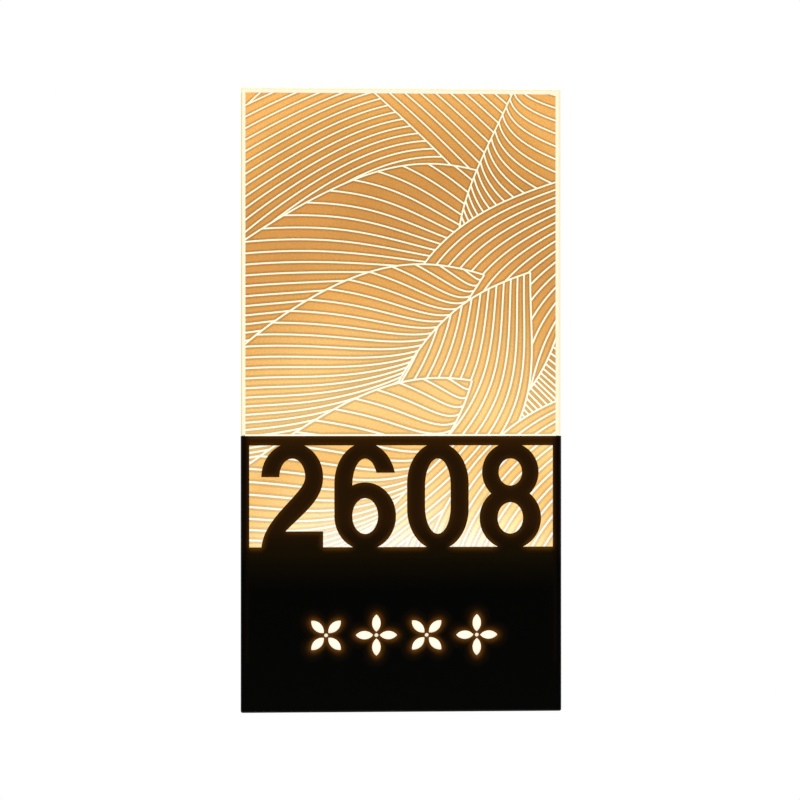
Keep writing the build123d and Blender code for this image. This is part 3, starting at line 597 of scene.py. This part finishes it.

# A wider strip behind every groove carries painted shade: the gold darkens softly towards both sides of every
# line, less near the diodes
groove_shade = gold_with_painted_glow("gold_with_painted_groove_shade", ("#62491F", "#6A5026"))
tree, shader, place = opened(groove_shade)
axes = add_node(tree, "ShaderNodeSeparateXYZ", {0: place}).outputs
from_diodes = add_node(
    tree, "ShaderNodeMapRange",
    {
        "Value": axes[2], "From Min": channel_top, "From Max": channel_top + shadow_fade * MM,
        "To Min": least_shadow,
    },
).outputs[0]
nearness = add_node(
    tree, "ShaderNodeMapRange",
    {
        "Value": axes[1], "From Min": guide_high[1], "From Max": guide_high[1] - shade_strip_depth * MM,
        "To Max": from_diodes,
    },
).outputs[0]
shadow = add_node(
    tree, "ShaderNodeMix", {0: nearness, 6: linear("#FFFFFF"), 7: linear("#D2BA98")}, data_type="RGBA"
).outputs[2]
unshaded_glow = shader.inputs["Emission Color"].links[0].from_socket
shaded = add_node(tree, "ShaderNodeVectorMath", {0: unshaded_glow, 1: shadow}, operation="MULTIPLY").outputs[0]
tree.links.new(shaded, shader.inputs["Emission Color"])
cut_grooves("painted_groove_shade_strips", shade_strip_width, shade_strip_depth, groove_shade)


# Front cover: laser-cut and folded 1.5 mm steel with the numerals left standing in its window. Fine-textured
# black powder coat, on which the light of the window and the ornaments is painted as a faint warm glow.
cover_low, cover_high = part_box("front_cover")
cover_coat = grained(
    "fine_black_powder_coat_painted_glow", ("#020201", "#040302"), (0.26, 0.34), 0.5, 0.006,
    Specular_IOR_Level=0.2, Emission_Strength=1.0,
)
tree, shader, place = opened(cover_coat)
axes = add_node(tree, "ShaderNodeSeparateXYZ", {0: place}).outputs
face_depth = 0.1
face = add_node(
    tree, "ShaderNodeMath", {0: axes[1], 1: cover_low[1] + face_depth * MM}, operation="LESS_THAN"
).outputs[0]

# The painted glow is strongest in the window, by the height above its sill in millimetres
window_sill = 1.2
window_stops = (
    (-20, "#000000"), (-8, "#0B0700"), (-3, "#130B00"), (0, "#140B00"), (5, "#1C0E01"), (12, "#251302"),
    (44, "#221202"), (49, "#2C1702"),
)
window_low = channel_top + window_sill * MM
up_window = add_node(tree, "ShaderNodeMath", {0: axes[2], 1: window_low}, operation="SUBTRACT").outputs[0]
painted_window_glow = painted_light_ramp(tree, up_window, window_stops)

# Painted light creeps round the cut edges: near them the normal of the face, rounded over a few millimetres,
# leans away. It gets weaker up the window, and there is none below the ornaments.
creep_radius = 4.5
creep_lean = -0.78
creep_fade = 10
creep_left = 0.35
diffuser_low, diffuser_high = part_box("motif_diffuser")
rounded = add_node(tree, "ShaderNodeBevel", {"Radius": creep_radius * MM}, samples=8).outputs[0]
lean = add_node(tree, "ShaderNodeSeparateXYZ", {0: rounded}).outputs[1]
near_cut = add_node(
    tree, "ShaderNodeMapRange", {"Value": lean, "From Min": -1.0, "From Max": creep_lean}
).outputs[0]
above_row = add_node(
    tree, "ShaderNodeMath", {0: axes[2], 1: diffuser_low[2]}, operation="GREATER_THAN"
).outputs[0]
fading = add_node(
    tree, "ShaderNodeMapRange",
    {"Value": up_window, "From Max": creep_fade * MM, "To Min": 1.0, "To Max": creep_left},
).outputs[0]
allowed = add_node(tree, "ShaderNodeMath", {0: above_row, 1: fading}, operation="MULTIPLY").outputs[0]
creep = add_node(tree, "ShaderNodeMath", {0: near_cut, 1: allowed}, operation="MULTIPLY").outputs[0]
painted_rim_glow = add_node(
    tree, "ShaderNodeMix", {0: creep, 6: linear("#000000"), 7: linear("#4C2A04")}, data_type="RGBA"
).outputs[2]

# Little of either reaches the two side borders, and none below the window
side_border = 4
border_blend = (-1, 2)
border_share = 0.15
border_fade = 8
window_side = cover_high[0] - side_border * MM
sideways = add_node(tree, "ShaderNodeMath", {0: axes[0]}, operation="ABSOLUTE").outputs[0]
from_window = add_node(
    tree, "ShaderNodeMath", {0: sideways, 1: window_side}, operation="SUBTRACT"
).outputs[0]
side_share = add_node(
    tree, "ShaderNodeMapRange",
    {"Value": up_window, "From Min": -border_fade * MM, "From Max": 0.0, "To Max": border_share},
).outputs[0]
beside = add_node(
    tree, "ShaderNodeMapRange",
    {
        "Value": from_window, "From Min": border_blend[0] * MM, "From Max": border_blend[1] * MM,
        "To Min": 1.0, "To Max": side_share,
    },
).outputs[0]

# Round each ornament a painted halo follows its four petals; every second ornament is turned by an eighth
ornaments = 4
half_pitch = 11.75
petal_end = 8.5
halo_stops = ((1.2, "#3C2105"), (2.6, "#221102"), (4.2, "#0F0700"), (7.0, "#000000"))
row_height = (diffuser_low[2] + diffuser_high[2]) / 2
nearest = 1.0
for number in range(ornaments):
    blossom = add_node(
        tree, "ShaderNodeMapping",
        {
            "Vector": place,
            "Location": ((2 * number + 1 - ornaments) * half_pitch * MM, 0, row_height),
            "Rotation": (0, math.radians(45 * ((number + 1) % 2)), 0),
        },
        vector_type="TEXTURE",
    ).outputs[0]
    folded = add_node(tree, "ShaderNodeVectorMath", {0: blossom}, operation="ABSOLUTE").outputs[0]
    arms = add_node(tree, "ShaderNodeSeparateXYZ", {0: folded}).outputs
    along = add_node(tree, "ShaderNodeMath", {0: arms[0], 1: arms[2]}, operation="MAXIMUM").outputs[0]
    across = add_node(tree, "ShaderNodeMath", {0: arms[0], 1: arms[2]}, operation="MINIMUM").outputs[0]
    past_tip = add_node(
        tree, "ShaderNodeMath", {0: along, 1: petal_end * MM}, operation="SUBTRACT"
    ).outputs[0]
    beyond = add_node(tree, "ShaderNodeMath", {0: past_tip, 1: 0.0}, operation="MAXIMUM").outputs[0]
    spot = add_node(tree, "ShaderNodeCombineXYZ", {0: beyond, 1: across}).outputs[0]
    away = add_node(tree, "ShaderNodeVectorMath", {0: spot}, operation="LENGTH").outputs["Value"]
    nearest = add_node(tree, "ShaderNodeMath", {0: away, 1: nearest}, operation="MINIMUM").outputs[0]
halo = painted_light_ramp(tree, nearest, halo_stops)

warm_window = add_node(
    tree, "ShaderNodeVectorMath", {0: painted_window_glow, 1: painted_rim_glow}, operation="ADD"
).outputs[0]
lit_window = add_node(
    tree, "ShaderNodeVectorMath", {0: warm_window, "Scale": beside}, operation="SCALE"
).outputs[0]
lit_face = add_node(tree, "ShaderNodeVectorMath", {0: lit_window, 1: halo}, operation="ADD").outputs[0]
painted_face_glow = add_node(tree, "ShaderNodeVectorMath", {0: lit_face, "Scale": face}, operation="SCALE").outputs[0]
tree.links.new(painted_face_glow, shader.inputs["Emission Color"])
dress(cover_coat, "front_cover")


# Ornament diffuser: a 2 mm opal acrylic sheet on welded studs behind the ornaments. It spreads the light of
# the diodes to an even warm white, painted as its glow.
opal = grained(
    "opal_acrylic", ("#F6F3EA", "#EFEBDF"), (0.3, 0.4), 3.0,
    Emission_Color=linear("#FFF4DA"), Emission_Strength=0.9,
)
dress(opal, "motif_diffuser")


# Floor, world, lamps and camera: a pale tabletop below the hung sign, a white surround, two soft boxes and a
# top light, seen from a little to the left as in the photograph.
floor_drop = 0.25
floor_size = 8.0
floor_end = (0.35, 0.95)
bpy.ops.mesh.primitive_plane_add(size=floor_size, location=(0, 0, cad_box[0][2] - floor_drop))
floor = bpy.context.view_layer.objects.active
floor.name = "floor"
pale = grained("pale_matt_laminate", ("#E4E3E0", "#E9E8E5"), (0.6, 0.7), 60.0)
floor.data.materials.append(pale)

# Further out the floor melts into the white surround for the camera, and is not there for other rays
tree, shader, place = opened(pale)
flat = add_node(tree, "ShaderNodeVectorMath", {0: place, 1: (1, 1, 0)}, operation="MULTIPLY").outputs[0]
outward = add_node(tree, "ShaderNodeVectorMath", {0: flat}, operation="LENGTH").outputs["Value"]
melt = add_node(
    tree, "ShaderNodeMapRange", {"Value": outward, "From Min": floor_end[0], "From Max": floor_end[1]},
    interpolation_type="SMOOTHSTEP",
).outputs[0]
to_camera = add_node(tree, "ShaderNodeLightPath").outputs["Is Camera Ray"]
gone = add_node(tree, "ShaderNodeBsdfTransparent").outputs[0]
white = add_node(tree, "ShaderNodeEmission", {"Color": linear("#FFFFFF")}).outputs[0]
far_floor = add_node(tree, "ShaderNodeMixShader", {0: to_camera, 1: gone, 2: white}).outputs[0]
melted = add_node(tree, "ShaderNodeMixShader", {0: melt, 1: shader.outputs[0], 2: far_floor}).outputs[0]
tree.links.new(melted, tree.nodes["Material Output"].inputs["Surface"])

# The room is white behind the sign and dim in front of it, which is what gloss and clear acrylic show
room_turn = (-0.2, 0.3)
world = bpy.data.worlds.new("white_surround")
bpy.context.scene.world = world
world.use_nodes = True
tree = world.node_tree
rays = add_node(tree, "ShaderNodeLightPath").outputs
direction = add_node(tree, "ShaderNodeTexCoord").outputs["Generated"]
depth = add_node(tree, "ShaderNodeSeparateXYZ", {0: direction}).outputs[1]
behind = add_node(
    tree, "ShaderNodeMapRange", {"Value": depth, "From Min": room_turn[0], "From Max": room_turn[1]}
).outputs[0]
room = add_node(
    tree, "ShaderNodeMix", {0: behind, 6: linear("#1C1C1C"), 7: linear("#FFFFFF")}, data_type="RGBA"
).outputs[2]
through = add_node(
    tree, "ShaderNodeMath", {0: rays["Is Glossy Ray"], 1: rays["Is Transmission Ray"]}, operation="MAXIMUM"
).outputs[0]
lit_room = add_node(
    tree, "ShaderNodeMix", {0: through, 6: linear("#8A8A8A"), 7: room}, data_type="RGBA"
).outputs[2]
sky = add_node(
    tree, "ShaderNodeMix", {0: rays["Is Camera Ray"], 6: lit_room, 7: linear("#FFFFFF")}, data_type="RGBA"
).outputs[2]
tree.links.new(sky, tree.nodes["Background"].inputs["Color"])

# Each lamp with its offset from the middle of the sign's face, its size in metres and its power in watts
middle = Vector((0, cover_low[1], (cad_box[0][2] + cad_box[1][2]) / 2))
lamps = {
    "key_box": (Vector((-1.3, -0.45, 0.6)), 0.7, 13.0),
    "fill_box": (Vector((1.3, -0.4, 0.3)), 0.8, 9.0),
    "top_box": (Vector((0.0, 0.45, 1.2)), 0.8, 10.0),
}
for name, (offset, size, power) in lamps.items():
    lamp = bpy.data.lights.new(name, "AREA")
    lamp.size = size
    lamp.energy = power
    stand = bpy.data.objects.new(name, lamp)
    stand.location = middle + offset
    stand.rotation_euler = (-offset).to_track_quat("-Z", "Y").to_euler()
    bpy.context.collection.objects.link(stand)

# The lens is as long as makes the sign this many pixels wide in the photograph's frame
camera_offset = Vector((-0.039, -0.9, 0))
aim_offset = Vector((-0.75 * MM, 0, -0.2 * MM))
image_width = 800
sign_pixels = 321.5
sensor = 36.0
sign_width = cad_box[1][0] - cad_box[0][0]
camera = bpy.data.objects.new("camera", bpy.data.cameras.new("camera"))
camera.location = middle + camera_offset
camera.rotation_euler = (aim_offset - camera_offset).to_track_quat("-Z", "Y").to_euler()
camera.data.sensor_width = sensor
camera.data.lens = sensor * sign_pixels / sign_width * abs(camera_offset.y) / image_width
bpy.context.collection.objects.link(camera)
bpy.context.scene.camera = camera
bpy.context.scene.view_settings.view_transform = "Standard"
